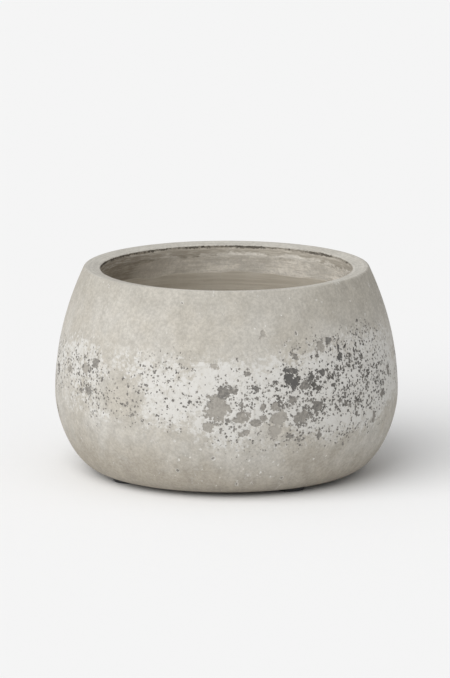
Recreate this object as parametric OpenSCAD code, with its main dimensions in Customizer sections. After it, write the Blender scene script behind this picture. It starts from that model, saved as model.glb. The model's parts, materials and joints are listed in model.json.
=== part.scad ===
// Round planter bowl cast in concrete, with a brushed sealer coat inside it
// and four rubber pads glued to its underside.
// Millimetres. +Z is up, z = 0 is the ground, and every wall is turned about Z.

/* [Bowl] */
// Height from the ground to the crest of the rim
total_h = 180; // [140:1:240]
// Diameter at the belly, the widest place
belly_d = 300; // [262:1:380]
// Height of the belly above the underside
belly_h = 66.5; // [40:0.5:90]
// Diameter of the flat underside
base_d = 229; // [170:1:250]
// Outward exponent of the curve from the underside to the belly, where 2 is an ellipse
heel_out_power = 1.65; // [1.4:0.05:2.6]
// Upward exponent of the same curve
heel_up_power = 1.75; // [1.4:0.05:2.6]

/* [Cavity] */
// Wall thickness at the belly
wall_t = 15; // [10:0.5:24]
// Thickness of the floor
floor_t = 16; // [10:0.5:30]
// Diameter of the flat part of the floor
floor_d = 200; // [120:1:210]

/* [Rim] */
// Diameter over the rim's outer edge
rim_d = 250; // [200:1:262]
// Width of the rim, from its outer edge to the mouth
rim_w = 15; // [10:0.5:24]
// Fall of the rim's top face towards the mouth, in degrees
rim_fall = 9.5; // [0:0.5:20]
// Radius of the rim's outer edge
crest_r = 3; // [1:0.25:5]
// Radius of the rim's inner edge
mouth_edge_r = 1; // [0.25:0.25:3]
// Height of the straight collar under the inner edge
collar_h = 8; // [4:0.5:16]

/* [Sealer coat] */
// Thickness of the coat
seal_t = 0.6; // [0.3:0.1:2]
// Height from the coat's upper edge to the crest of the rim
seal_drop = 28; // [20:1:60]

/* [Feet] */
// Diameter of each rubber pad
pad_d = 24; // [14:1:40]
// Thickness of each rubber pad
pad_t = 3; // [2:0.25:8]
// Radius of the pad's lower edge
pad_edge_r = 0.75; // [0.25:0.25:1.5]
// Thickness of the glue disc between a pad and the underside
glue_t = 0.5; // [0.2:0.1:1]
// Distance from the glue disc's edge to the pad's edge
glue_inset = 0.5; // [0:0.25:2]
// Distance from the pads to the edge of the flat underside
pad_inset = 0.5; // [0:0.5:30]
// Turn of the ring of pads from the diagonals, clockwise from above, in degrees
pad_turn = 12.5; // [0:0.5:45]

/* [Hidden] */
$fn = 96;

// Heights above the ground
base_z = pad_t + glue_t;
belly_z = base_z + belly_h;
floor_z = base_z + floor_t;
seal_z = total_h - seal_drop;

// Radii
base_r = base_d / 2;
belly_r = belly_d / 2;
rim_r = rim_d / 2;
mouth_r = rim_r - rim_w;
floor_r = floor_d / 2;
cavity_r = belly_r - wall_t;
pad_ring_r = base_r - pad_inset - pad_d / 2;

// The crest is an arc from the leaning outer wall to the falling top face
wall_lean = atan(2 * (belly_r - rim_r) / (total_h - crest_r - belly_z));
crest = [rim_r - crest_r, total_h - crest_r];
crest_start = crest + crest_r * [cos(wall_lean), sin(wall_lean)];
crest_end = crest + crest_r * [-sin(rim_fall), cos(rim_fall)];

// The mouth's edge is an arc from the top face to the collar
top_run = (crest_end.x - mouth_r - mouth_edge_r * (1 - sin(rim_fall))) / cos(rim_fall);
mouth_edge = [
    mouth_r + mouth_edge_r,
    crest_end.y - top_run * sin(rim_fall) - mouth_edge_r * cos(rim_fall)
];
collar_foot = [mouth_r, mouth_edge.y - collar_h];

// Angles of the pads about Z, from +X
front_right = -45 - pad_turn;
back_right = front_right + 90;
back_left = back_right + 90;
front_left = back_left + 90;

// Steps along the curves
heel_steps = 16;
shoulder_steps = 14;
edge_steps = 6;

function arc(centre, r, from, to) =
    [for (i = [0:edge_steps])
        let (a = from + (to - from) * i / edge_steps)
        centre + r * [cos(a), sin(a)]];

// Quarter of a superellipse, level where it starts and upright where it meets the belly
function heel(start, out_r) =
    [for (i = [0:heel_steps])
        let (a = 90 * i / heel_steps)
        [
            start.x + (out_r - start.x) * pow(sin(a), 2 / heel_out_power),
            start.y + (belly_z - start.y) * (1 - pow(cos(a), 2 / heel_up_power))
        ]];

// Stretch between two heights of the parabola that stands upright at the belly and leans in to top
function shoulder(out_r, top, from_z, to_z) =
    [for (i = [0:shoulder_steps])
        let (
            z = from_z + (to_z - from_z) * i / shoulder_steps,
            rise = (z - belly_z) / (top.y - belly_z)
        )
        [out_r - (out_r - top.x) * rise * rise, z]];

function without_first(path) = [for (i = [1:len(path) - 1]) path[i]];

function reversed(path) = [for (i = [len(path) - 1:-1:0]) path[i]];

// Direction to the left of the line from a to b
function left_of(a, b) = let (d = b - a) [-d.y, d.x] / norm(d);

// The path moved to its left by t, each stretch parallel to the one it came from
function moved_left(path, t) =
    let (last = len(path) - 1)
    [for (i = [0:last])
        let (
            before = left_of(path[max(i - 1, 0)], path[max(i, 1)]),
            after = left_of(path[min(i, last - 1)], path[min(i + 1, last)])
        )
        path[i] + t * (before + after) / (1 + before * after)];

// Outside of the bowl, from the centre of the underside to the end of the crest
function outside() =
    concat(
        [[0, base_z]],
        heel([base_r, base_z], belly_r),
        without_first(shoulder(belly_r, crest_start, belly_z, crest_start.y)),
        without_first(arc(crest, crest_r, wall_lean, 90 + rim_fall))
    );

// Sealed part of the cavity, from the centre of the floor to the coat's upper edge
function sealed_wall() =
    concat(
        [[0, floor_z]],
        heel([floor_r, floor_z], cavity_r),
        without_first(shoulder(cavity_r, collar_foot, belly_z, seal_z))
    );

// Bare part of the cavity, from the coat's upper edge to the top face
function bare_wall() =
    concat(
        without_first(shoulder(cavity_r, collar_foot, seal_z, collar_foot.y)),
        arc(mouth_edge, mouth_edge_r, 180, 90 + rim_fall)
    );

module cast_bowl() {
    color([0.74, 0.72, 0.68])
        rotate_extrude()
            polygon(concat(outside(), reversed(concat(sealed_wall(), bare_wall()))));
}

module sealer_coat() {
    color([0.58, 0.55, 0.5])
        rotate_extrude()
            polygon(concat(sealed_wall(), reversed(moved_left(sealed_wall(), seal_t))));
}

module on_pad_ring(angle) {
    rotate(angle)
        translate([pad_ring_r, 0, 0])
            children();
}

module foot_pad(angle) {
    pad_r = pad_d / 2;
    color([0.05, 0.05, 0.05])
        on_pad_ring(angle)
            rotate_extrude()
                polygon(concat(
                    [[0, 0]],
                    arc([pad_r - pad_edge_r, pad_edge_r], pad_edge_r, -90, 0),
                    [[pad_r, pad_t], [0, pad_t]]
                ));
}

module glue_disc(angle) {
    color([0.86, 0.84, 0.76])
        on_pad_ring(angle)
            translate([0, 0, pad_t])
                cylinder(h = glue_t, r = pad_d / 2 - glue_inset);
}

cast_bowl();
sealer_coat();
foot_pad(front_right);  // foot_pad_front_right
foot_pad(back_right);  // foot_pad_back_right
foot_pad(back_left);  // foot_pad_back_left
foot_pad(front_left);  // foot_pad_front_left
glue_disc(front_right);  // glue_disc_front_right
glue_disc(back_right);  // glue_disc_back_right
glue_disc(back_left);  // glue_disc_back_left
glue_disc(front_left);  // glue_disc_front_left
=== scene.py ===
# Round cast concrete planter bowl on four rubber pads: the looks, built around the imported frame.
# Metres. Angles go round the bowl in degrees: 0 faces the front (-Y), 90 the right (+X).
import json
import math
import bpy
import numpy as np
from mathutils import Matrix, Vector


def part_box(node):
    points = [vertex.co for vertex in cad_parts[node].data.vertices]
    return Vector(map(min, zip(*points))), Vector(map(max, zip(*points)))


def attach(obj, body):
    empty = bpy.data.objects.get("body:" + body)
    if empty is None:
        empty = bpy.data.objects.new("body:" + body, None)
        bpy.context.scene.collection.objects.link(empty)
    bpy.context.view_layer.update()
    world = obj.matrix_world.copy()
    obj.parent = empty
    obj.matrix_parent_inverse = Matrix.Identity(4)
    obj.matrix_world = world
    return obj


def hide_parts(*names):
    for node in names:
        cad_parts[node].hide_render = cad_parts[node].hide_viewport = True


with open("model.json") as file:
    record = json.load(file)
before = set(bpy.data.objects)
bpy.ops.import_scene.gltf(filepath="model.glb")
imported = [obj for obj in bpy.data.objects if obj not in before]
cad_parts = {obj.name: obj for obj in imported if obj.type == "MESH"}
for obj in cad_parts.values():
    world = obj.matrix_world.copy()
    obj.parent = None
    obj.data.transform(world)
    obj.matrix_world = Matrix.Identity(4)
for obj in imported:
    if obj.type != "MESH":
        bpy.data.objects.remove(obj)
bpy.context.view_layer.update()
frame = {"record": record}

mounts = {mount["name"]: mount for mount in frame["record"]["mounts"]}
bowlLow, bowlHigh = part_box("cast_bowl")
coatLow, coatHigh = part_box("sealer_coat")
padNames = ["front_right", "back_right", "back_left", "front_left"]
print("frame loaded")


# shape of the bowl

bowl = {
    "rimRadius": 0.125,  # over the outer edge
    "rimFall": 9.5,  # degrees, towards the mouth
    "crestRadius": 0.003,
    "mouthEdgeRadius": 0.001,
    "collarHeight": 0.008,
    "bellyHeight": 0.0665,  # above the underside
    "baseRadius": 0.1145,
    "floorRadius": 0.1,
    "heelOut": 1.65,  # exponents of the heel curve
    "heelUp": 1.75,
    "columns": 1440,  # round the outside
    "wallStep": 0.00075,  # between rings, on the pitted part of the wall
    "footShare": 2,  # the same step times this below that part, above it and inside
    "shoulderShare": 1.6,
    "insideShare": 2,
    "crestStep": 0.0007,
    "topStep": 0.0012,
    "edgeStep": 0.0004,
    "plainStep": 0.008,  # on the wall behind the coat
    "pitBand": (0.042, 0.152),  # heights between which the wall is worn
    "bareBelowCoat": 0.01,  # how far the modelled wall goes on behind the coat
    "triangles": 190000,  # kept after the flat stretches are thinned
}

bellyRadius = bowlHigh.x
cavityRadius = coatHigh.x
baseZ, topZ = bowlLow.z, bowlHigh.z
bellyZ = baseZ + bowl["bellyHeight"]
floorZ, sealZ = coatLow.z, coatHigh.z
mouthRadius = mounts["mouth"]["dims"]["r_mm"] / 1000

fall = math.radians(bowl["rimFall"])
crest = np.array([bowl["rimRadius"] - bowl["crestRadius"], topZ - bowl["crestRadius"]])
wallLean = math.atan(2 * (bellyRadius - bowl["rimRadius"]) / (crest[1] - bellyZ))
crestStart = crest + bowl["crestRadius"] * np.array([math.cos(wallLean), math.sin(wallLean)])
crestEnd = crest + bowl["crestRadius"] * np.array([-math.sin(fall), math.cos(fall)])
topRun = (crestEnd[0] - mouthRadius - bowl["mouthEdgeRadius"] * (1 - math.sin(fall))) / math.cos(fall)
mouthEdge = np.array([
    mouthRadius + bowl["mouthEdgeRadius"],
    crestEnd[1] - topRun * math.sin(fall) - bowl["mouthEdgeRadius"] * math.cos(fall),
])
collarFoot = np.array([mouthRadius, mouthEdge[1] - bowl["collarHeight"]])


def arc(centre, radius, start, end, count):
    a = np.linspace(start, end, count)
    return np.stack([centre[0] + radius * np.cos(a), centre[1] + radius * np.sin(a)], axis=1)


def heel(startRadius, startZ, outRadius, count):
    a = np.linspace(0, math.pi / 2, count)
    r = startRadius + (outRadius - startRadius) * np.sin(a) ** (2 / bowl["heelOut"])
    z = startZ + (bellyZ - startZ) * (1 - np.clip(np.cos(a), 0, 1) ** (2 / bowl["heelUp"]))
    return np.stack([r, z], axis=1)


def shoulder(outRadius, top, startZ, endZ, count):
    z = np.linspace(startZ, endZ, count)
    rise = (z - bellyZ) / (top[1] - bellyZ)
    return np.stack([outRadius - (outRadius - top[0]) * rise ** 2, z], axis=1)


def line(start, end, count):
    return np.linspace(start, end, count)


def evenly(path, step):
    # the same path with its points evenly spread
    gaps = np.hypot(*np.diff(path, axis=0).T)
    along = np.concatenate([[0], np.cumsum(gaps)])
    count = max(2, int(round(along[-1] / step)) + 1)
    at = np.linspace(0, along[-1], count)
    return np.stack([np.interp(at, along, path[:, 0]), np.interp(at, along, path[:, 1])], axis=1)


def latheMesh(name, rings):
    # rings: (radius, height, columns), from the bottom centre round to the inside's centre
    points, faces, starts = [], [], []
    total = 0
    for radius, height, columns in rings:
        starts.append(total)
        if radius < 1e-6:
            points.append(np.array([[0, 0, height]]))
            total += 1
            continue
        a = np.arange(columns) * 2 * math.pi / columns
        points.append(np.stack([radius * np.cos(a), radius * np.sin(a), np.full(columns, height)], axis=1))
        total += columns
    for i in range(len(rings) - 1):
        faces += stitch(starts[i], len(points[i]), starts[i + 1], len(points[i + 1]))
    return meshFrom(name, np.concatenate(points), faces)


def stitch(low, lowCount, high, highCount):
    # faces between two rings, one of which may have some whole times the other's points
    if lowCount == highCount:
        i = np.arange(lowCount)
        j = (i + 1) % lowCount
        return [np.stack([low + i, low + j, high + j, high + i], axis=1)]
    if lowCount < highCount:
        return [face[:, ::-1] for face in stitch(high, highCount, low, lowCount)]
    share = lowCount // highCount
    fine = np.arange(lowCount)
    nextFine = (fine + 1) % lowCount
    if highCount == 1:
        return [np.stack([low + fine, low + nextFine, np.full(lowCount, high)], axis=1)]
    coarse = np.arange(highCount)
    nearer = (fine // share + (fine % share >= (share + 1) // 2)) % highCount
    middle = coarse * share + (share + 1) // 2
    return [
        np.stack([low + fine, low + nextFine, high + nearer], axis=1),
        np.stack([low + middle, high + (coarse + 1) % highCount, high + coarse], axis=1),
    ]


def meshFrom(name, points, faceGroups):
    mesh = bpy.data.meshes.new(name)
    corners = np.concatenate([group.ravel() for group in faceGroups]).astype(np.int32)
    sizes = np.concatenate([np.full(len(group), group.shape[1]) for group in faceGroups])
    starts = np.concatenate([[0], np.cumsum(sizes)[:-1]]).astype(np.int32)
    mesh.vertices.add(len(points))
    setPoints(mesh, points)
    mesh.loops.add(len(corners))
    mesh.loops.foreach_set("vertex_index", corners)
    mesh.polygons.add(len(starts))
    mesh.polygons.foreach_set("loop_start", starts)
    mesh.update(calc_edges=True)
    mesh.shade_smooth()
    return mesh


def addObject(name, mesh):
    piece = bpy.data.objects.new(name, mesh)
    bpy.context.scene.collection.objects.link(piece)
    return piece


def pointsOf(mesh):
    co = np.empty(len(mesh.vertices) * 3, np.float32)
    mesh.vertices.foreach_get("co", co)
    return co.reshape(-1, 3).astype(float)


def setPoints(mesh, points):
    mesh.vertices.foreach_set("co", points.astype(np.float32).ravel())


def setField(mesh, name, values):
    if name in mesh.attributes:
        mesh.attributes.remove(mesh.attributes[name])
    layer = mesh.attributes.new(name, "FLOAT", "POINT")
    layer.data.foreach_set("value", np.asarray(values, np.float32))


def readField(mesh, name):
    values = np.empty(len(mesh.vertices), np.float32)
    mesh.attributes[name].data.foreach_get("value", values)
    return values


def outsidePath():
    return np.concatenate([
        heel(bowl["baseRadius"], baseZ, bellyRadius, 400),
        shoulder(bellyRadius, crestStart, bellyZ, crestStart[1], 400)[1:],
    ])


def cavityPath():
    return np.concatenate([
        shoulder(cavityRadius, collarFoot, bellyZ, collarFoot[1], 300)[::-1],
        heel(bowl["floorRadius"], floorZ, cavityRadius, 200)[::-1][1:],
    ])


def between(path, low, high):
    return path[(path[:, 1] >= low) & (path[:, 1] < high)]


def bowlRings():
    full = bowl["columns"]
    half = full // 2
    outside, inside = outsidePath(), cavityPath()

    pits = bowl["pitBand"]
    bare = sealZ - bowl["bareBelowCoat"]
    # radius, and the share of the full number of columns
    underside = [(0, 1), (0.012, 48), (0.03, 16), (0.055, 8), (0.08, 4), (0.1, 2)]
    rings = [(radius, baseZ, 1 if radius == 0 else full // share) for radius, share in underside]

    def add(path, step, columns):
        rings.extend((r, z, columns) for r, z in evenly(path, step))

    step = bowl["wallStep"]
    add(between(outside, baseZ, pits[0]), bowl["footShare"] * step, half)
    add(between(outside, *pits), step, full)
    add(between(outside, pits[1], topZ), bowl["shoulderShare"] * step, half)
    add(arc(crest, bowl["crestRadius"], wallLean, math.pi / 2 + fall, 12)[1:], bowl["crestStep"], half)
    inner = mouthEdge + bowl["mouthEdgeRadius"] * np.array([-math.sin(fall), math.cos(fall)])
    turn = crestEnd + (inner - crestEnd) * 0.7
    add(line(crestEnd, turn, 30)[2:], bowl["topStep"], half)
    add(line(turn, inner, 30)[1:], step, full)
    turned = arc(mouthEdge, bowl["mouthEdgeRadius"], math.pi / 2 + fall, math.pi, 10)
    add(turned[1:], bowl["edgeStep"], full)
    add(line([mouthRadius, mouthEdge[1]], collarFoot, 30)[1:], step, full)
    add(between(inside, bare, collarFoot[1] - 0.0005), bowl["insideShare"] * step, half)
    add(between(inside, floorZ, bare - 0.003)[:-1], bowl["plainStep"], full // 8)
    for part, share in ((0.6, 16), (0.2, 48)):
        rings.append((bowl["floorRadius"] * part, floorZ, full // share))
    rings.append((0, floorZ, 1))
    return rings


# where the wall is worn

wear = {
    # soft patches: angle, height, half width in degrees, half height in metres, strength
    "lime": [
        (36, 0.092, 46, 0.036, 1.05), (-4, 0.102, 20, 0.022, 0.88), (-18, 0.092, 14, 0.03, 0.85),
        (-2, 0.07, 12, 0.022, 0.8), (-34, 0.116, 10, 0.014, 0.6), (-56, 0.104, 17, 0.026, 0.64),
        (-52, 0.078, 24, 0.014, 0.5), (60, 0.12, 24, 0.02, 0.7), (104, 0.088, 24, 0.034, 0.8),
        (136, 0.104, 20, 0.03, 0.9), (168, 0.088, 16, 0.022, 0.7), (198, 0.098, 24, 0.036, 0.85),
        (236, 0.086, 20, 0.03, 0.8), (252, 0.112, 18, 0.022, 0.75), (284, 0.1, 14, 0.02, 0.6),
    ],
    "bare": [
        (-38, 0.088, 9, 0.013, 0.8), (16, 0.064, 5, 0.008, 0.7), (160, 0.082, 9, 0.013, 0.7),
        (222, 0.112, 8, 0.01, 0.7), (96, 0.066, 9, 0.01, 0.6),
    ],
    # where the specks crowd
    "pits": [
        (26, 0.09, 15, 0.03, 0.88), (50, 0.098, 22, 0.034, 0.85), (-55, 0.1, 14, 0.026, 0.6),
        (-20, 0.096, 15, 0.032, 0.55), (4, 0.082, 12, 0.036, 0.68), (46, 0.128, 26, 0.018, 0.62),
        (34, 0.056, 28, 0.012, 0.6), (-42, 0.082, 24, 0.022, 0.4), (104, 0.094, 24, 0.03, 0.8),
        (150, 0.1, 22, 0.026, 0.6), (196, 0.098, 24, 0.03, 0.75), (238, 0.088, 20, 0.026, 0.6),
        (276, 0.098, 18, 0.024, 0.7),
    ],
    # where the specks are darkest
    "shade": [
        (25, 0.104, 9, 0.014, 1.0), (44, 0.118, 12, 0.018, 0.8), (50, 0.1, 24, 0.034, 0.7),
        (-54, 0.1, 16, 0.022, 0.2), (-20, 0.1, 12, 0.02, 0.5), (110, 0.096, 14, 0.018, 0.8),
        (196, 0.104, 14, 0.016, 0.8), (262, 0.096, 14, 0.018, 0.7),
    ],
    # flaked places: angle, height, width across, width up, turn in degrees, darkness 0 to 1
    "flakes": [
        (-3, 0.083, 0.022, 0.025, 0, 0.3), (-1, 0.097, 0.01, 0.014, -30, 0.6),
        (-6, 0.068, 0.01, 0.01, 0, 0.25), (2, 0.099, 0.013, 0.007, 0, 0.5),
        (5, 0.076, 0.014, 0.011, 10, 0.35), (10, 0.071, 0.009, 0.007, 0, 0.45),
        (12, 0.075, 0.009, 0.006, 0, 0.35), (17, 0.074, 0.014, 0.014, 20, 0.2),
        (16, 0.063, 0.012, 0.012, 0, 0.1), (25, 0.074, 0.015, 0.012, 0, 0.45),
        (22, 0.114, 0.013, 0.007, -10, 0.8), (21, 0.107, 0.008, 0.01, 0, 0.95),
        (23, 0.103, 0.01, 0.009, 0, 0.95), (27, 0.101, 0.01, 0.009, 30, 0.6),
        (29, 0.105, 0.005, 0.01, -15, 0.8), (10, 0.1, 0.006, 0.009, -25, 0.7),
        (7, 0.113, 0.007, 0.007, 0, 0.55), (22, 0.09, 0.009, 0.007, 20, 0.55),
        (12, 0.085, 0.008, 0.007, 40, 0.45), (16, 0.083, 0.008, 0.007, 0, 0.35),
        (31, 0.082, 0.011, 0.01, 0, 0.6), (34, 0.11, 0.007, 0.006, 40, 0.75),
        (64, 0.08, 0.009, 0.007, 30, 0.6), (58, 0.062, 0.006, 0.011, 0, 0.4),
        (6, 0.063, 0.011, 0.005, 25, 0.3), (21, 0.058, 0.008, 0.005, 10, 0.5),
        (32, 0.056, 0.006, 0.006, 0, 0.45), (34, 0.131, 0.009, 0.009, 0, 0.25),
        (38, 0.135, 0.008, 0.007, 0, 0.6), (42, 0.121, 0.007, 0.008, 0, 0.95),
        (42, 0.13, 0.004, 0.008, 0, 0.8), (24, 0.125, 0.008, 0.005, -35, 0.5),
        (13, 0.144, 0.007, 0.007, 0, 0.1), (-50, 0.112, 0.009, 0.008, 30, 0.5),
        (-55, 0.105, 0.009, 0.01, 0, 0.2), (-66, 0.1, 0.009, 0.007, 0, 0.3),
        (-52, 0.087, 0.009, 0.008, 20, 0.5), (70, 0.098, 0.007, 0.01, 0, 0.5),
        (-4, 0.119, 0.009, 0.005, -20, 0.15),
    ],
    "moreFlakes": 90,  # scattered in the same way over the back
    # where bubbles and crumbs show in the bare concrete
    "bubbly": [
        (2, 0.03, 32, 0.018, 1.0), (45, 0.152, 34, 0.022, 0.8), (150, 0.034, 30, 0.016, 0.9),
        (240, 0.15, 30, 0.02, 0.7),
    ],
    "fewBubbles": 0.4,  # how bubbly the rest of the outside is
    # darker patches under the rim, painted shade
    "paintedShadePatches": [(66, 0.162, 34, 0.022, 0.7), (10, 0.135, 22, 0.016, 0.35), (200, 0.15, 40, 0.02, 0.5)],
    # on the wall inside
    # stains, with painted shade over the left of the inside wall
    "stainedAndShaded": [(258, 0.16, 58, 0.08, 1.0), (196, 0.172, 16, 0.007, 0.6), (232, 0.168, 22, 0.009, 0.9)],
    "scuffed": [(-11, 0.125, 6, 0.009, 1.0), (140, 0.128, 8, 0.008, 0.8), (232, 0.062, 9, 0.008, 0.8)],
    "seed": 11,
}


def around(angle, centre):
    return (angle - centre + 180) % 360 - 180


def anglesAndHeights(points):
    return np.degrees(np.arctan2(points[:, 0], -points[:, 1])), points[:, 2]


def softPatches(angle, height, patches, power=2):
    field = np.zeros(len(angle))
    for centre, middle, spread, rise, strength in patches:
        away = (around(angle, centre) / spread) ** 2 + ((height - middle) / rise) ** 2
        field = np.maximum(field, strength * np.exp(-0.7 * away ** power))
    return field


def flakePlaces():
    draw = np.random.default_rng(wear["seed"])
    places = list(wear["flakes"])
    for _ in range(wear["moreFlakes"]):
        size = 0.004 + 0.012 * draw.random() ** 3
        places.append((
            draw.uniform(82, 286), draw.normal(0.092, 0.02),
            size * draw.uniform(0.8, 1.5), size, draw.uniform(-40, 40), draw.uniform(0.1, 0.75),
        ))
    return places


def flakeFields(angle, height):
    # how far inside a flaked place each point is, 0 at its edge and 1 at its middle, and its darkness
    depth = np.full(len(angle), -1.0)
    dark = np.zeros(len(angle))
    for centre, middle, width, tall, turn, darkness in flakePlaces():
        near = (np.abs(around(angle, centre)) < 14) & (np.abs(height - middle) < 0.03)
        across = np.radians(around(angle[near], centre)) * bellyRadius
        up = height[near] - middle
        c, s = math.cos(math.radians(turn)), math.sin(math.radians(turn))
        away = np.hypot((c * across + s * up) / (width / 2), (c * up - s * across) / (tall / 2))
        inside = 1 - away
        better = inside > depth[near]
        spots = np.flatnonzero(near)[better]
        depth[spots] = inside[better]
        dark[spots] = darkness
    return depth, dark


def topFaceHeight(radius):
    return crestEnd[1] - (crestEnd[0] - radius) * math.tan(fall)


rim = {
    # where the mouth's edge is crumbled: angle, 0, half width in degrees, 1, strength
    "ragged": [
        (174, 0, 24, 1, 1.0), (130, 0, 24, 1, 1.0), (205, 0, 24, 1, 0.8), (250, 0, 30, 1, 0.8),
        (0, 0, 60, 1, 0.08),
    ],
    "edgeReach": 0.0026,
    "edgeAbove": 0.0004,
    "lipBelow": 0.0007,  # the line under the edge where the mould's halves met
    "lipReach": 0.002,
    "lipWidth": 0.003,
}
sides = {
    "innerDepth": 0.0085,  # a point further in than this lies on the inside
    "outsideFrom": 0.001,  # above the underside
    "insideFrom": 0.004,  # below the cavity's floor
    "topFace": (0.0012, 0.001),  # how far under the rim's face a point still counts, and how sharply
}


def setBowlFields(mesh):
    points = pointsOf(mesh)
    angle, height = anglesAndHeights(points)
    radius = np.hypot(points[:, 0], points[:, 1])
    outer = outsidePath()
    wall = np.interp(height, outer[:, 1], outer[:, 0])
    under, blend = sides["topFace"]
    onTop = np.clip((height - topFaceHeight(radius) + under) / blend, 0, 1) * (radius > mouthRadius)
    inner = (radius < wall - sides["innerDepth"]) & (height > floorZ - sides["insideFrom"])
    outside = ~inner & (height > baseZ + sides["outsideFrom"])
    depth, dark = flakeFields(angle, height)
    edge = np.hypot(radius - mouthRadius, height - mouthEdge[1] - rim["edgeAbove"])
    ragged = softPatches(angle, np.zeros(len(angle)), rim["ragged"], 1)
    away = np.abs(height - mouthEdge[1] + rim["lipBelow"])
    onLip = radius < mouthRadius + rim["lipWidth"]

    def patches(kind, power=2):
        return softPatches(angle, height, wear[kind], power)

    fields = {
        "lime": outside * np.clip(patches("lime") - patches("bare"), 0, 1),
        "pits": outside * patches("pits"),
        "flake": np.where(outside, depth, -1),
        "flakeDark": dark,
        "shade": patches("shade"),
        "bubbly": outside * (wear["fewBubbles"] + patches("bubbly")),
        # painted shade patches under the rim
        "paintedShadePatches": patches("paintedShadePatches"),
        "stainedAndShaded": patches("stainedAndShaded", 1),
        "scuffed": outside * patches("scuffed"),
        "inside": inner & (onTop < 0.5),
        "rim": onTop,
        "mouthEdge": np.clip(1 - edge / rim["edgeReach"], 0, 1) * ragged,
        "lip": np.clip(1 - away / rim["lipReach"], 0, 1) * onLip * ragged,
    }
    for name, values in fields.items():
        setField(mesh, name, values)


# node helpers, used for the shape and for the finishes alike

def addNode(tree, kind, inputs=None, **settings):
    made = tree.nodes.new(kind)
    for name, value in settings.items():
        setattr(made, name, value)
    for name, value in (inputs or {}).items():
        feed(tree, made.inputs[name], value)
    return made


def feed(tree, socket, value):
    if isinstance(value, bpy.types.NodeSocket):
        tree.links.new(value, socket)
    elif value is not None:
        socket.default_value = value


def calc(tree, operation, a, b=None):
    made = addNode(tree, "ShaderNodeMath", operation=operation)
    for socket, value in zip(made.inputs, (a, b)):
        feed(tree, socket, value)
    return made.outputs[0]


def plus(tree, a, b):
    return calc(tree, "ADD", a, b)


def minus(tree, a, b):
    return calc(tree, "SUBTRACT", a, b)


def times(tree, a, b):
    return calc(tree, "MULTIPLY", a, b)


def larger(tree, a, b):
    return calc(tree, "MAXIMUM", a, b)


def swing(tree, noise, amount):
    # a noise of 0 to 1 turned into one that swings to both sides of zero
    return times(tree, minus(tree, noise, 0.5), amount)


def vectorCalc(tree, operation, a, b=None, scale=None):
    made = addNode(tree, "ShaderNodeVectorMath", operation=operation)
    feed(tree, made.inputs[0], a)
    if scale is None:
        feed(tree, made.inputs[1], b)
    else:
        feed(tree, made.inputs["Scale"], scale)
    return made.outputs[0]


def rampUp(tree, value, low, high, start=0.0, end=1.0):
    made = addNode(tree, "ShaderNodeMapRange", interpolation_type="SMOOTHSTEP")
    for socket, number in zip(made.inputs, (value, low, high, start, end)):
        feed(tree, socket, number)
    return made.outputs[0]


def noiseAt(tree, vector, scale, detail=2.0, roughness=0.5):
    made = addNode(tree, "ShaderNodeTexNoise", noise_dimensions="3D")
    for name, value in (("Vector", vector), ("Scale", scale), ("Detail", detail), ("Roughness", roughness)):
        feed(tree, made.inputs[name], value)
    return made.outputs[0]


def cellsAt(tree, vector, scale):
    return addNode(tree, "ShaderNodeTexVoronoi", {"Vector": vector, "Scale": scale}, feature="F1")


def blendColour(tree, factor, a, b, mode="MIX"):
    made = addNode(tree, "ShaderNodeMix", data_type="RGBA", blend_type=mode)
    for index, value in ((0, factor), (6, a), (7, b)):
        if isinstance(value, tuple):
            value = (*value, 1.0)
        feed(tree, made.inputs[index], value)
    return made.outputs[2]


def fieldOf(tree, name):
    if tree.bl_idname == "GeometryNodeTree":
        made = addNode(tree, "GeometryNodeInputNamedAttribute", data_type="FLOAT")
        made.inputs["Name"].default_value = name
        return made.outputs["Attribute"]
    return addNode(tree, "ShaderNodeAttribute", attribute_name=name).outputs["Fac"]


def stretched(tree, vector, x, y, z):
    return vectorCalc(tree, "MULTIPLY", vector, (x, y, z))


def splitUp(tree, vector):
    return addNode(tree, "ShaderNodeSeparateXYZ", {0: vector}).outputs


def joined(tree, parts):
    made = addNode(tree, "ShaderNodeCombineXYZ")
    for socket, value in zip(made.inputs, parts):
        feed(tree, socket, value)
    return made.outputs[0]


def heightOf(tree, place):
    return splitUp(tree, place)["Z"]


def distanceOut(tree, x, y):
    return calc(tree, "SQRT", plus(tree, times(tree, x, x), times(tree, y, y)))


def wrapped(tree, point):
    # the point moved straight out to the belly's radius, so that a pattern doesn't slide into a pit
    x, y, z = splitUp(tree, point)
    out = calc(tree, "DIVIDE", bellyRadius, larger(tree, distanceOut(tree, x, y), 0.02))
    return joined(tree, (times(tree, x, out), times(tree, y, out), z))


def alongRim(tree, point):
    # a place that changes fast across the rim and slowly round it
    x, y, _ = splitUp(tree, point)
    return joined(tree, (times(tree, x, 30), times(tree, y, 30), times(tree, distanceOut(tree, x, y), 700)))


specks = {
    # cells to the metre, share of the cells that hold a speck, its radius against the cell, raggedness
    "large": (105, 0.24, 0.66, 0.4),
    "middling": (225, 0.74, 0.68, 0.4),
    "small": (440, 1.15, 0.72, 0.34),
    "bubbles": (92, 0.36, 0.25, 0.09),
    "crumbs": (190, 0.27, 0.4, 0.22),
    # cells to the metre and raggedness of the chips along a flake's edge
    "chips": (330, 0.3),
}


def brokenUp(tree, place, scale, amount):
    # the place shifted smoothly and in steps, so that outlines come out ragged and angular
    bend = addNode(tree, "ShaderNodeTexNoise", {"Vector": place, "Scale": scale * 2.4, "Detail": 3.0})
    jumps = cellsAt(tree, place, scale * 3.1).outputs["Color"]
    shift = vectorCalc(tree, "ADD", bend.outputs["Color"], jumps)
    shift = vectorCalc(tree, "SUBTRACT", shift, (1.0, 1.0, 1.0))
    return vectorCalc(tree, "ADD", place, vectorCalc(tree, "SCALE", shift, scale=amount / scale))


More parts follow.
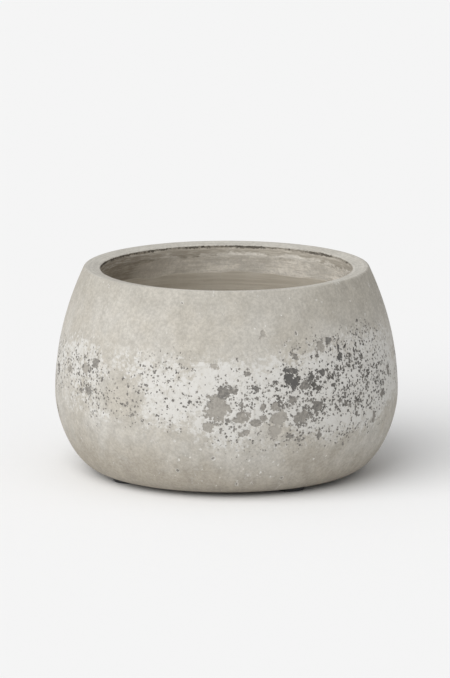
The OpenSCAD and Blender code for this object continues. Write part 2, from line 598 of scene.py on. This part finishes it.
def specksAt(tree, skin, crowd, kind):
    # how far inside a speck each point is, in cells, and that speck's own random number
    scale, share, size, raggedness = specks[kind]
    cells = cellsAt(tree, brokenUp(tree, skin, scale, raggedness), scale)
    draw = splitUp(tree, cells.outputs["Color"])
    chosen = minus(tree, draw[0], minus(tree, 1, times(tree, crowd, share)))
    radius = times(tree, calc(tree, "POWER", larger(tree, chosen, 0), 0.45), size)
    return minus(tree, radius, cells.outputs["Distance"]), draw[1]


def wornMarks(tree, skin):
    # specks, flaked places and bubbles, each 0 to 1, with the specks' tone
    pits = fieldOf(tree, "pits")
    clusters = rampUp(tree, noiseAt(tree, skin, 55, 2), 0.36, 0.64, 0.62, 1.08)
    crowd = times(tree, pits, clusters)
    marks = {}
    for kind in ("large", "middling", "small"):
        inside, draw = specksAt(tree, skin, crowd, kind)
        marks[kind] = rampUp(tree, inside, 0.0, 0.05)
        marks[kind + "Tone"] = draw
    bubbly = fieldOf(tree, "bubbly")
    inside, draw = specksAt(tree, skin, bubbly, "bubbles")
    marks["bubble"] = rampUp(tree, inside, 0.0, 0.03)
    outerSide, innerSide = rampUp(tree, inside, -0.045, -0.015), rampUp(tree, inside, 0.02, 0.0)
    marks["bubbleRims"] = times(tree, outerSide, innerSide)
    marks["bubbleTone"] = draw
    inside, draw = specksAt(tree, skin, bubbly, "crumbs")
    marks["crumbs"] = rampUp(tree, inside, 0.0, 0.04)

    scale, raggedness = specks["chips"]
    chips = cellsAt(tree, brokenUp(tree, skin, scale, raggedness), scale)
    edgeChips, marks["flakeChips"], _ = splitUp(tree, chips.outputs["Color"])
    ragged = swing(tree, noiseAt(tree, skin, 240, 4, 0.65), 1.9)
    ragged = plus(tree, ragged, swing(tree, edgeChips, 0.6))
    marks["flake"] = rampUp(tree, plus(tree, fieldOf(tree, "flake"), ragged), 0.06, 0.1)
    return marks


castSurface = {
    # specks, flakes, the crumbled edge and the slight unevenness of a hand-worked mould
    "Large Depth": 0.0004,
    "Middling Depth": 0.0003,
    "Small Depth": 0.00015,
    "Bubble Depth": 0.0006,
    "Flake Depth": 0.00045,
    "Flake Roughness": 0.00022,
    "Edge Crumbs": 0.0018,
    "Lip Depth": 0.0011,
    "Brush Depth": 0.00012,
    "Wobble": 0.0004,
}


def newShapeTree(name, numbers, finish):
    tree = bpy.data.node_groups.new(name, "GeometryNodeTree")
    tree.interface.new_socket("Geometry", in_out="INPUT", socket_type="NodeSocketGeometry")
    tree.interface.new_socket("Geometry", in_out="OUTPUT", socket_type="NodeSocketGeometry")
    for label in numbers:
        tree.interface.new_socket(label, in_out="INPUT", socket_type="NodeSocketFloat")
    start = tree.nodes.new("NodeGroupInput")
    end = tree.nodes.new("NodeGroupOutput")
    real = tree.nodes.new("GeometryNodeRealizeInstances")
    coat = addNode(tree, "GeometryNodeSetMaterial", {"Material": finish})
    tree.links.new(real.outputs[0], coat.inputs["Geometry"])
    tree.links.new(coat.outputs[0], end.inputs["Geometry"])
    return tree, start, real.inputs[0]


def applyShapeTree(piece, tree, numbers):
    modifier = piece.modifiers.new(tree.name, "NODES")
    modifier.node_group = tree
    for item in tree.interface.items_tree:
        if item.in_out == "INPUT" and item.name in numbers:
            modifier[item.identifier] = numbers[item.name]
    settle(piece)


def settle(piece):
    # the piece's modifiers become its mesh
    graph = bpy.context.evaluated_depsgraph_get()
    final = piece.evaluated_get(graph)
    made = bpy.data.meshes.new_from_object(final, preserve_all_data_layers=True, depsgraph=graph)
    old = piece.data
    made.name = old.name
    piece.modifiers.clear()
    piece.data = made
    bpy.data.meshes.remove(old)


def moveAlong(tree, geometry, direction, distance):
    step = vectorCalc(tree, "SCALE", direction, scale=distance)
    return addNode(tree, "GeometryNodeSetPosition", {"Geometry": geometry, "Offset": step}).outputs[0]


def castSurfaceTree(finish):
    tree, start, end = newShapeTree("castSurface", castSurface, finish)
    size = {label: start.outputs[label] for label in castSurface}
    place = tree.nodes.new("GeometryNodeInputPosition").outputs[0]
    normal = tree.nodes.new("GeometryNodeInputNormal").outputs[0]
    skin = wrapped(tree, place)
    marks = wornMarks(tree, skin)

    sunk = times(tree, marks["flake"], size["Flake Depth"])
    for mark in ("large", "middling", "small", "bubble"):
        sunk = larger(tree, sunk, times(tree, marks[mark], size[mark.capitalize() + " Depth"]))
    floorNoise = times(tree, noiseAt(tree, skin, 420, 3), size["Flake Roughness"])
    sunk = plus(tree, sunk, times(tree, floorNoise, marks["flake"]))

    # crumbs and bites along the mouth's edge, and the line under it
    crumbs = minus(tree, noiseAt(tree, place, 420, 3, 0.6), 0.5)
    crumbs = times(tree, times(tree, crumbs, 3.0), fieldOf(tree, "mouthEdge"))
    sunk = minus(tree, sunk, times(tree, crumbs, size["Edge Crumbs"]))
    lip = times(tree, fieldOf(tree, "lip"), rampUp(tree, noiseAt(tree, place, 60, 3), 0.28, 0.46))
    sunk = plus(tree, sunk, times(tree, lip, size["Lip Depth"]))

    strokes = minus(tree, noiseAt(tree, stretched(tree, place, 14, 14, 420), 1, 3, 0.6), 0.5)
    strokes = times(tree, times(tree, strokes, fieldOf(tree, "inside")), size["Brush Depth"])
    wave = swing(tree, noiseAt(tree, place, 14, 2), size["Wobble"])
    rise = minus(tree, plus(tree, strokes, wave), sunk)

    geometry = moveAlong(tree, start.outputs["Geometry"], normal, rise)
    tree.links.new(geometry, end)
    return tree


# finishes

def newFinish(name):
    finish = bpy.data.materials.new(name)
    finish.use_nodes = True
    tree = finish.node_tree
    tree.nodes.clear()
    shader = tree.nodes.new("ShaderNodeBsdfPrincipled")
    output = tree.nodes.new("ShaderNodeOutputMaterial")
    tree.links.new(shader.outputs[0], output.inputs["Surface"])
    place = tree.nodes.new("ShaderNodeTexCoord").outputs["Object"]
    return finish, tree, shader, place


def relief(tree, shader, height, distance, strength=1.0):
    made = addNode(tree, "ShaderNodeBump", {"Height": height, "Distance": distance, "Strength": strength})
    tree.links.new(made.outputs[0], shader.inputs["Normal"])


concrete = {
    "warm": (0.44, 0.412, 0.362),
    "cool": (0.5, 0.48, 0.44),
    "darkToneAndShade": (0.385, 0.36, 0.312),  # the runs and scuffs, and painted shade on the shoulder and in patches under the rim
    "brownAndShadedFoot": (0.372, 0.336, 0.28),  # lowest part of the wall: browner, and darker as painted shade near the floor
    "inside": (0.765, 0.73, 0.668),
    # painted shade on the collar inside the mouth
    "collar": (0.36, 0.328, 0.278),
    # stains inside, and painted shade on the inside wall's left
    "stainAndShade": (0.255, 0.222, 0.18),
    "rim": (0.505, 0.484, 0.438),
    "lime": (0.612, 0.6, 0.571),
    "paleSpeck": (0.262, 0.247, 0.224),
    "darkSpeck": (0.058, 0.055, 0.051),
    "paleFlake": (0.38, 0.356, 0.318),
    "darkFlake": (0.11, 0.106, 0.1),
    "crumb": (0.7, 0.69, 0.66),
    # painted shadow and dirt under the mouth's edge
    "dirtAndShadow": (0.085, 0.074, 0.06),
    "stroke": (0.56, 0.524, 0.458),
}

patterns = {
    # noise scale, detail and roughness, then its low and high and the values these turn into
    "clouds": (22, 4, 0.6, 0.35, 0.65, 0, 1),
    "runs": (95, 4, 0.65, 0.5, 0.72, 0, 0.35),
    "blotches": (80, 6, 0.7, 0.32, 0.68, 0.92, 1.08),
    "mottle": (400, 5, 0.75, 0.36, 0.64, 0.9, 1.1),
    "rimPatches": (60, 3, 0.5, 0.3, 0.6, 0.55, 1),
    "trowel": (1, 4, 0.7, 0.34, 0.66, 0.86, 1.06),
    "veil": (120, 5, 0.7, 0.38, 0.62, 0.72, 1),
    "brushed": (1, 6, 0.72, 0.34, 0.66, 0.76, 1.1),
    "scuffLines": (1, 2, 0.5, 0.52, 0.62, 0, 1),
    "strokes": (1, 4, 0.7, 0.45, 0.7, 0, 0.8),
    "lipGaps": (55, 3, 0.5, 0.34, 0.48, 0, 1),
    "coatClouds": (34, 4, 0.6, 0.48, 0.7, 0, 0.6),
    "coatPocks": (380, 2, 0.5, 0.68, 0.74, 0, 0.6),
    "padDust": (160, 5, 0.7, 0.52, 0.75, 0, 0.5),
    "glueClouds": (700, 3, 0.5, 0.4, 0.65, 0, 1),
}
levels = {
    # heights between which a tone comes in
    "runs": (0.006, 0.024),
    # the shoulder's painted shade
    "shoulder": (0.145, 0.172),
    "brownAndShadedFoot": (0.056, 0.012),
    "footWave": 0.014,
    # painted light under the collar, where the cavity widens into shade, and painted shade on the collar
    "paintedLightUnderCollar": (collarFoot[1] - 0.034, collarFoot[1] - 0.004),
    "collar": (collarFoot[1] - 0.003, collarFoot[1] + 0.001),
    "collarWave": 0.02,
}
amounts = {
    "shoulder": 0.55, "brownAndShadedFoot": 0.85, "stainAndShade": 0.9, "scuff": 0.55, "paintedLightUnderCollar": 1.16,
    "ownTone": 0.55, "placeTone": 0.45, "bubbleRim": 0.6, "bubble": 0.65, "crumb": 0.75,
    "shadowAndDirtPatch": 0.85, "shadowAndDirtLine": 0.55,
}


def patternAt(tree, vector, kind):
    scale, detail, roughness, low, high, start, end = patterns[kind]
    return rampUp(tree, noiseAt(tree, vector, scale, detail, roughness), low, high, start, end)


def tinted(tree, colour, amount):
    # the colour made darker or lighter, alike in its three channels
    grey = addNode(tree, "ShaderNodeCombineColor")
    for socket in grey.inputs[:3]:
        feed(tree, socket, amount)
    return blendColour(tree, 1.0, colour, grey.outputs[0], "MULTIPLY")


def bareConcrete(tree, place, skin, clouds, mottle):
    # clouds, faint runs down the wall, painted shade on the shoulder and in patches under the rim, a
    # browner foot with painted shade near the floor, and blotches
    height = heightOf(tree, place)
    colour = blendColour(tree, clouds, concrete["warm"], concrete["cool"])
    runs = patternAt(tree, stretched(tree, skin, 1, 1, 0.35), "runs")
    runs = times(tree, runs, rampUp(tree, height, *levels["runs"]))
    # painted shade: the shoulder darkened towards the rim
    shoulder = rampUp(tree, height, *levels["shoulder"], 0, amounts["shoulder"])
    for amount in (runs, shoulder, fieldOf(tree, "paintedShadePatches")):
        colour = blendColour(tree, amount, colour, concrete["darkToneAndShade"])
    # a browner tone of its own, and painted shade near the floor where little light reaches
    brownAndShadedFoot = plus(tree, height, swing(tree, clouds, levels["footWave"]))
    brownAndShadedFoot = rampUp(tree, brownAndShadedFoot, *levels["brownAndShadedFoot"], 0, amounts["brownAndShadedFoot"])
    colour = blendColour(tree, brownAndShadedFoot, colour, concrete["brownAndShadedFoot"])
    return tinted(tree, colour, times(tree, patternAt(tree, skin, "blotches"), mottle))


def trowelledRim(tree, place, mottle, colour):
    # the rim is smooth and pale, with marks that run round it
    trowel = patternAt(tree, alongRim(tree, place), "trowel")
    smooth = tinted(tree, concrete["rim"], times(tree, trowel, mottle))
    amount = times(tree, fieldOf(tree, "rim"), patternAt(tree, place, "rimPatches"))
    return blendColour(tree, amount, colour, smooth)


def limeBloom(tree, skin, colour):
    # lime round the belly, broken up at its edges and thinner in places
    broad = swing(tree, noiseAt(tree, skin, 38, 4, 0.65), 1.3)
    fine = swing(tree, noiseAt(tree, skin, 260, 5, 0.72), 2.6)
    bloom = rampUp(tree, plus(tree, fieldOf(tree, "lime"), plus(tree, broad, fine)), 0.28, 0.78)
    return blendColour(tree, times(tree, bloom, patternAt(tree, skin, "veil")), colour, concrete["lime"])


def poppedSpecks(tree, marks, colour):
    # a speck's tone is partly its own and partly its place's
    placeTone = times(tree, fieldOf(tree, "shade"), amounts["placeTone"])
    for kind in ("small", "middling", "large"):
        tone = plus(tree, times(tree, marks[kind + "Tone"], amounts["ownTone"]), placeTone)
        speck = blendColour(tree, tone, concrete["paleSpeck"], concrete["darkSpeck"])
        colour = blendColour(tree, marks[kind], colour, speck)
    return colour


def flakedPlaces(tree, skin, marks, colour):
    rough = swing(tree, noiseAt(tree, skin, 420, 5, 0.7), 0.9)
    rough = plus(tree, rough, swing(tree, marks["flakeChips"], 0.16))
    tone = rampUp(tree, plus(tree, fieldOf(tree, "flakeDark"), rough), 0, 1)
    flake = blendColour(tree, tone, concrete["paleFlake"], concrete["darkFlake"])
    return blendColour(tree, marks["flake"], colour, flake)


def bubblesAndCrumbs(tree, marks, colour):
    # air bubbles with a pale rim, and stray pale crumbs
    rims = times(tree, marks["bubbleRims"], amounts["bubbleRim"])
    colour = blendColour(tree, rims, colour, concrete["crumb"])
    bubble = blendColour(tree, marks["bubbleTone"], concrete["paleSpeck"], concrete["darkFlake"])
    colour = blendColour(tree, times(tree, marks["bubble"], amounts["bubble"]), colour, bubble)
    return blendColour(tree, times(tree, marks["crumbs"], amounts["crumb"]), colour, concrete["crumb"])


def scuffs(tree, place, colour):
    lines = patternAt(tree, stretched(tree, place, 40, 40, 900), "scuffLines")
    amount = times(tree, times(tree, lines, fieldOf(tree, "scuffed")), amounts["scuff"])
    return blendColour(tree, amount, colour, concrete["darkToneAndShade"])


def insideWall(tree, place, clouds, mottle, colour):
    # brushed and stained, with painted shade on its left and on the collar, and painted light just under
    # the collar
    height = heightOf(tree, place)
    brushed = patternAt(tree, stretched(tree, place, 42, 42, 110), "brushed")
    tone = tinted(tree, concrete["inside"], times(tree, brushed, mottle))
    # painted light just under the collar
    tone = tinted(tree, tone, rampUp(tree, height, *levels["paintedLightUnderCollar"], 1, amounts["paintedLightUnderCollar"]))
    # painted shade on the collar band
    collar = plus(tree, height, times(tree, minus(tree, brushed, 1), levels["collarWave"]))
    tone = blendColour(tree, rampUp(tree, collar, *levels["collar"]), tone, concrete["collar"])
    # stains, and painted shade on the left of the inside wall
    stainsAndShade = plus(tree, fieldOf(tree, "stainedAndShaded"), swing(tree, clouds, 0.3))
    tone = blendColour(tree, rampUp(tree, stainsAndShade, 0, 1, 0, amounts["stainAndShade"]), tone, concrete["stainAndShade"])
    inside = fieldOf(tree, "inside")
    colour = blendColour(tree, inside, colour, tone)
    strokes = patternAt(tree, stretched(tree, place, 60, 60, 700), "strokes")
    return blendColour(tree, times(tree, strokes, inside), colour, concrete["stroke"])


def lipShadowAndDirt(tree, place, colour):
    # painted shadow and dirt in the crumbled line under the mouth's edge, in patches and as a thin line
    lip = fieldOf(tree, "lip")
    crumbled = plus(tree, lip, swing(tree, noiseAt(tree, place, 330, 4, 0.7), 2.4))
    crumbled = times(tree, rampUp(tree, crumbled, 0.3, 0.62), patternAt(tree, place, "lipGaps"))
    patches = times(tree, times(tree, crumbled, rampUp(tree, lip, 0.02, 0.3)), amounts["shadowAndDirtPatch"])
    thinLine = rampUp(tree, lip, 0.45, 0.95, 0, amounts["shadowAndDirtLine"])
    return blendColour(tree, larger(tree, patches, thinLine), colour, concrete["dirtAndShadow"])


def concreteFinish():
    finish, tree, shader, place = newFinish("cast_concrete")
    skin = wrapped(tree, place)
    marks = wornMarks(tree, skin)
    clouds = patternAt(tree, place, "clouds")
    mottle = patternAt(tree, place, "mottle")
    colour = bareConcrete(tree, place, skin, clouds, mottle)
    colour = trowelledRim(tree, place, mottle, colour)
    colour = limeBloom(tree, skin, colour)
    colour = poppedSpecks(tree, marks, colour)
    colour = flakedPlaces(tree, skin, marks, colour)
    colour = bubblesAndCrumbs(tree, marks, colour)
    colour = scuffs(tree, place, colour)
    colour = insideWall(tree, place, clouds, mottle, colour)
    colour = lipShadowAndDirt(tree, place, colour)
    tree.links.new(colour, shader.inputs["Base Color"])
    shader.inputs["Roughness"].default_value = 0.92
    shader.inputs["Specular IOR Level"].default_value = 0.25

    grain = plus(tree, noiseAt(tree, place, 700, 5, 0.7), times(tree, noiseAt(tree, place, 160, 3), 0.8))
    holes = larger(tree, larger(tree, marks["small"], marks["middling"]), marks["bubble"])
    relief(tree, shader, minus(tree, grain, times(tree, holes, 0.6)), 0.0004, 0.6)
    return finish


concreteMaterial = concreteFinish()
bowlPiece = addObject("bowl_casting", latheMesh("bowl_casting", bowlRings()))
setBowlFields(bowlPiece.data)
applyShapeTree(bowlPiece, castSurfaceTree(concreteMaterial), castSurface)
print("bowl shaped,", len(bowlPiece.data.polygons), "faces")

triangles = sum(len(face.vertices) - 2 for face in bowlPiece.data.polygons)
if triangles > bowl["triangles"]:
    # the flaked places keep all their points
    flaked = np.flatnonzero(readField(bowlPiece.data, "flake") > -0.3)
    bowlPiece.vertex_groups.new(name="flaked").add(flaked.tolist(), 1.0, "REPLACE")
    thin = bowlPiece.modifiers.new("thin", "DECIMATE")
    thin.ratio = bowl["triangles"] / triangles
    thin.vertex_group = "flaked"
    thin.invert_vertex_group = True
    settle(bowlPiece)
    bowlPiece.vertex_groups.clear()
setBowlFields(bowlPiece.data)
bowlPiece.data.shade_smooth()
print("bowl thinned,", len(bowlPiece.data.polygons), "faces")
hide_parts("cast_bowl")
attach(bowlPiece, "root")


# sealer coat: a brushed film on the wall and floor of the cavity

coat = {
    "columns": 480,
    "step": 0.0024,
    "thickness": 0.0006,
    "backing": 0.0003,  # how far it soaks into the concrete
    "feather": 0.006,  # height over which it thins out at the top
    "thinnest": 0.12,  # share of the thickness that is left there
    "floorRuns": (0.004, 0.02, 0.04, 0.098),  # radii of the rings on the floor
    # the upper edge's rise and fall: turns round the bowl, height, start in degrees
    "waves": [(2, 0.0005, 20), (5, 0.0005, 80), (11, 0.0003, 10), (23, 0.0002, 50), (41, 0.00015, 0)],
    # brush strokes that ran low or high: angle, height, half width in degrees
    "strokes": [
        (214, -0.003, 7), (148, -0.0012, 9), (176, 0.001, 12), (40, -0.002, 10), (310, 0.0016, 12),
    ],
}
film = {"Stroke Depth": 0.00016, "Run Depth": 0.00015}

sealer = {
    "thin": (0.555, 0.512, 0.44),
    "thick": (0.47, 0.43, 0.364),
    "scuff": (0.58, 0.545, 0.48),
}


def coatEdge(angle):
    rise = sum(tall * np.sin(np.radians(turns * angle + start)) for turns, tall, start in coat["waves"])
    for centre, tall, spread in coat["strokes"]:
        rise = rise + tall * np.exp(-(around(angle, centre) / spread) ** 2)
    return rise


def coatPath():
    # the film's face, from the middle of the floor up the wall, with closer rings at its top
    wall = evenly(between(cavityPath(), floorZ, sealZ)[::-1], coat["step"])
    first, second, third, last = coat["floorRuns"]
    return np.concatenate([
        [[first, floorZ], [second, floorZ]],
        line([third, floorZ], [last, floorZ], 24),
        wall[:-1],
        line(wall[-2], wall[-1], 8)[-3:],
    ])


def coatMesh():
    inner = coatPath()
    steps = np.gradient(inner, axis=0)
    leftward = np.stack([-steps[:, 1], steps[:, 0]], axis=1) / np.hypot(steps[:, 0], steps[:, 1])[:, None]
    feather = np.clip((sealZ - inner[:, 1]) / coat["feather"], 0, 1)[:, None]
    face = inner + coat["thickness"] * (coat["thinnest"] + (1 - coat["thinnest"]) * feather) * leftward
    back = inner - coat["backing"] * leftward
    path = np.concatenate([back, [back[-1] * 0.5 + face[-1] * 0.5 + [0, 0.0002]], face[::-1]])
    columns = coat["columns"]
    counts = [columns // 48, columns // 12] + [columns] * (len(inner) - 2)
    shares = counts + [columns] + counts[::-1]
    rings = [(0, path[0][1], 1), *((r, z, n) for (r, z), n in zip(path, shares)), (0, path[-1][1], 1)]
    mesh = latheMesh("sealer_film", rings)
    raiseEdge(mesh)
    onFace = [np.full(count, float(i > len(inner))) for i, count in enumerate(shares)]
    setField(mesh, "coatFace", np.concatenate([np.zeros(1), *onFace, np.ones(1)]))
    return mesh


def raiseEdge(mesh):
    # the upper edge rises and falls, and the film follows the cavity's wall as it does
    points = pointsOf(mesh)
    angle, height = anglesAndHeights(points)
    share = np.clip((height - bellyZ) / (sealZ - bellyZ), 0, 1)
    lifted = height + coatEdge(angle) * share ** 3
    cavity = cavityPath()[::-1]
    change = np.interp(lifted, cavity[:, 1], cavity[:, 0]) - np.interp(height, cavity[:, 1], cavity[:, 0])
    radius = np.hypot(points[:, 0], points[:, 1])
    points[:, :2] *= np.where(share > 0, 1 + change / np.maximum(radius, 0.001), 1)[:, None]
    points[:, 2] = lifted
    setPoints(mesh, points)


def strokesOn(tree, place):
    # brush strokes round the wall, and to and fro on the floor
    across = noiseAt(tree, stretched(tree, place, 14, 14, 460), 1, 4, 0.7)
    onWall = rampUp(tree, heightOf(tree, place), floorZ + 0.012, floorZ + 0.03)
    swirl = noiseAt(tree, stretched(tree, place, 22, 160, 30), 1, 3, 0.6)
    return plus(tree, times(tree, across, onWall), times(tree, swirl, minus(tree, 1, onWall)))


def filmTree(finish):
    tree, start, end = newShapeTree("brushedFilm", film, finish)
    place = tree.nodes.new("GeometryNodeInputPosition").outputs[0]
    normal = tree.nodes.new("GeometryNodeInputNormal").outputs[0]
    strokes = swing(tree, strokesOn(tree, place), start.outputs["Stroke Depth"])
    runs = noiseAt(tree, stretched(tree, place, 60, 60, 12), 1, 2)
    runs = swing(tree, runs, start.outputs["Run Depth"])
    rise = times(tree, plus(tree, strokes, runs), fieldOf(tree, "coatFace"))
    tree.links.new(moveAlong(tree, start.outputs["Geometry"], normal, rise), end)
    return tree


def sealerFinish():
    finish, tree, shader, place = newFinish("brushed_sealer")
    strokes = strokesOn(tree, place)
    colour = blendColour(tree, rampUp(tree, strokes, 0.36, 0.62), sealer["thick"], sealer["thin"])
    colour = blendColour(tree, patternAt(tree, place, "coatClouds"), colour, sealer["scuff"])
    colour = blendColour(tree, patternAt(tree, place, "coatPocks"), colour, sealer["thick"])
    tree.links.new(colour, shader.inputs["Base Color"])
    tree.links.new(rampUp(tree, strokes, 0.3, 0.7, 0.62, 0.8), shader.inputs["Roughness"])
    shader.inputs["Specular IOR Level"].default_value = 0.35
    grain = times(tree, noiseAt(tree, place, 600, 3), 0.4)
    relief(tree, shader, plus(tree, strokes, grain), 0.0003, 0.5)
    return finish


coatPiece = addObject("sealer_film", coatMesh())
applyShapeTree(coatPiece, filmTree(sealerFinish()), film)
coatPiece.data.shade_smooth()
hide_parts("sealer_coat")
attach(coatPiece, "root")
print("sealer coat brushed on")


# rubber pads and the glue that holds them

pad = {
    "columns": 96,
    "edgeRadius": 0.00075,
    "draft": 0.0002,  # the side leans in towards the top
    "ringRadius": 0.0078,  # groove moulded in the underside
    "ringWidth": 0.0012,
    "ringDepth": 0.0004,
    "ringShoulder": 0.0004,  # flat kept beside the groove
    "flash": 0.00012,  # mould line a little over half way up
    "flashHeight": 0.55,  # share of the pad's height
    "flashInset": 0.0002,  # the body's edge lies this far inside the full radius
    "black": (0.011, 0.011, 0.012),
    "dust": (0.05, 0.048, 0.045),
}
glue = {
    "columns": 96,
    "squeeze": 0.0005,  # how far it bulges out between pad and concrete
    "bulge": (0, 0.75, 1, 0.75, 0),
    "unevenness": 0.0002,
    "inward": 1.2,  # unevenness times this keeps it inside its disc
    "clear": (0.62, 0.58, 0.47),
    "cloudy": (0.74, 0.71, 0.62),
    "seed": 5,
}


def padUnderside(outer):
    # out from the middle, over the groove, to where the edge turns up
    ring, half, deep = pad["ringRadius"], pad["ringWidth"] / 2, pad["ringDepth"]
    flat = half + pad["ringShoulder"]
    profile = ((-1, 0), (-0.6, 0.8), (0, 1), (0.6, 0.8), (1, 0))
    groove = [(ring + half * part, deep * share) for part, share in profile]
    last = outer - pad["edgeRadius"] - 0.0003
    return [(0.003, 0), (ring - flat, 0), *groove, (ring + flat, 0), (last, 0)]


def padSide(outer, tall):
    # up the side, with the mould line standing out of it, and over the upper edge
    middle, seam = tall * pad["flashHeight"], outer + pad["flash"] - pad["flashInset"]
    upper = outer - pad["draft"]
    return [
        (outer, pad["edgeRadius"] + 0.0001), (outer - 0.00003, middle - 0.00016),
        (seam, middle - 0.00005), (seam, middle + 0.00005),
        (outer - 0.00006, middle + 0.00016), (upper, tall - 0.0003),
        (upper - 0.0001, tall - 0.00008), (upper - 0.00035, tall),
    ]


def padMesh(name, low, high):
    centre = (low + high) / 2
    outer = (high.x - low.x) / 2
    tall = high.z - low.z
    edge = pad["edgeRadius"]
    rounded = arc([outer - edge, edge], edge, -math.pi / 2, 0, 8)
    top = [(outer * 0.6, tall), (outer * 0.2, tall)]
    path = [*padUnderside(outer), *map(tuple, rounded), *padSide(outer, tall), *top]
    columns = pad["columns"]
    shares = [columns // 4, *[columns] * (len(path) - 2), columns // 4]
    mesh = latheMesh(name, [(0, 0, 1), *((r, z, n) for (r, z), n in zip(path, shares)), (0, tall, 1)])
    setPoints(mesh, pointsOf(mesh) + np.array([centre.x, centre.y, low.z]))
    return mesh


def glueMesh(name, low, high, draw):
    centre = (low + high) / 2
    radius = (high.x - low.x) / 2
    tall = high.z - low.z
    columns = glue["columns"]
    side = []
    for i, share in enumerate(glue["bulge"]):
        side.append((radius + glue["squeeze"] * (share - 1), tall * i / 4, columns))
    under, over = (radius * 0.5, 0, columns), (radius * 0.5, tall, columns)
    mesh = latheMesh(name, [(0, 0, 1), under, *side, over, (0, tall, 1)])
    points = pointsOf(mesh)
    angle = np.arctan2(points[:, 1], points[:, 0])
    wave = 0
    for turns in range(2, 12):
        wave = wave + draw.uniform(-1, 1) * np.sin(turns * angle + draw.uniform(0, 6.28)) / turns
    atEdge = np.hypot(points[:, 0], points[:, 1]) > radius * 0.6
    points[:, :2] *= 1 + np.where(atEdge, glue["unevenness"] * (wave - glue["inward"]) / radius, 0)[:, None]
    setPoints(mesh, points + np.array([centre.x, centre.y, low.z]))
    return mesh


def rubberFinish():
    finish, tree, shader, place = newFinish("pad_rubber")
    dust = patternAt(tree, place, "padDust")
    colour = blendColour(tree, dust, pad["black"], pad["dust"])
    tree.links.new(colour, shader.inputs["Base Color"])
    tree.links.new(rampUp(tree, dust, 0, 0.5, 0.38, 0.75), shader.inputs["Roughness"])
    relief(tree, shader, noiseAt(tree, place, 2200, 3, 0.6), 0.00008, 0.4)
    return finish


def glueFinish():
    finish, tree, shader, place = newFinish("pad_glue")
    colour = blendColour(tree, patternAt(tree, place, "glueClouds"), glue["clear"], glue["cloudy"])
    tree.links.new(colour, shader.inputs["Base Color"])
    shader.inputs["Roughness"].default_value = 0.35
    shader.inputs["Subsurface Weight"].default_value = 0.2
    shader.inputs["Subsurface Radius"].default_value = (0.001, 0.0008, 0.0005)
    relief(tree, shader, noiseAt(tree, place, 1500, 2), 0.0001, 0.4)
    return finish


rubberMaterial, glueMaterial = rubberFinish(), glueFinish()
glueDraw = np.random.default_rng(glue["seed"])
for corner in padNames:
    node = "foot_pad_" + corner
    piece = addObject("rubber_pad_" + corner, padMesh(node, *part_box(node)))
    piece.data.materials.append(rubberMaterial)
    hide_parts(node)
    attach(piece, "root")
    node = "glue_disc_" + corner
    piece = addObject("glue_" + corner, glueMesh(node, *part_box(node), glueDraw))
    piece.data.materials.append(glueMaterial)
    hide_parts(node)
    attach(piece, "root")
print("pads glued on")


# camera, floor and light

view = {"distance": 3.94, "elevation": 11.57, "lens": 239.0, "middleAbove": 0.0225, "middleLeft": 0.0013}


def towards(azimuth, elevation):
    a, e = math.radians(azimuth), math.radians(elevation)
    return Vector((math.sin(a) * math.cos(e), -math.cos(a) * math.cos(e), math.sin(e)))


target = Vector((0, 0, (baseZ + topZ) / 2))
cameraData = bpy.data.cameras.new("camera")
cameraData.lens = view["lens"]
cameraData.sensor_width = 36
cameraData.clip_end = 100
camera = bpy.data.objects.new("camera", cameraData)
camera.location = target + view["distance"] * towards(0, view["elevation"])
aim = target + Vector((-view["middleLeft"], 0, view["middleAbove"])) - camera.location
camera.rotation_mode = "QUATERNION"
camera.rotation_quaternion = aim.to_track_quat("-Z", "Y")
bpy.context.scene.collection.objects.link(camera)
bpy.context.scene.camera = camera

studio = {
    "floorSize": 30.0, "floorGap": 0.0001, "floorColour": (0.86, 0.86, 0.86), "sky": 0.56,
    # azimuth from the front towards the right, height, strength, softness in degrees
    "key": (-42, 42, 2.35, 65),
}

floorFinish, _, floorShader, _ = newFinish("studio_floor")
floorShader.inputs["Base Color"].default_value = (*studio["floorColour"], 1)
floorShader.inputs["Roughness"].default_value = 1.0
floorShader.inputs["Specular IOR Level"].default_value = 0.0
reach = studio["floorSize"] / 2
corners = np.array([(-reach, -reach), (reach, -reach), (reach, reach), (-reach, reach)])
corners = np.column_stack([corners, np.full(4, -studio["floorGap"])])
floor = addObject("studio_floor", meshFrom("studio_floor", corners, [np.array([[0, 1, 2, 3]])]))
floor.data.materials.append(floorFinish)

azimuth, height, strength, softness = studio["key"]
key = bpy.data.lights.new("key", "SUN")
key.energy = strength
key.angle = math.radians(softness)
lamp = bpy.data.objects.new("key", key)
lamp.rotation_mode = "QUATERNION"
lamp.rotation_quaternion = towards(azimuth, height).to_track_quat("Z", "Y")
bpy.context.scene.collection.objects.link(lamp)

sky = bpy.data.worlds.new("sky")
sky.use_nodes = True
sky.node_tree.nodes["Background"].inputs["Color"].default_value = (1, 1, 1, 1)
sky.node_tree.nodes["Background"].inputs["Strength"].default_value = studio["sky"]
bpy.context.scene.world = sky
bpy.context.scene.view_settings.view_transform = "Standard"
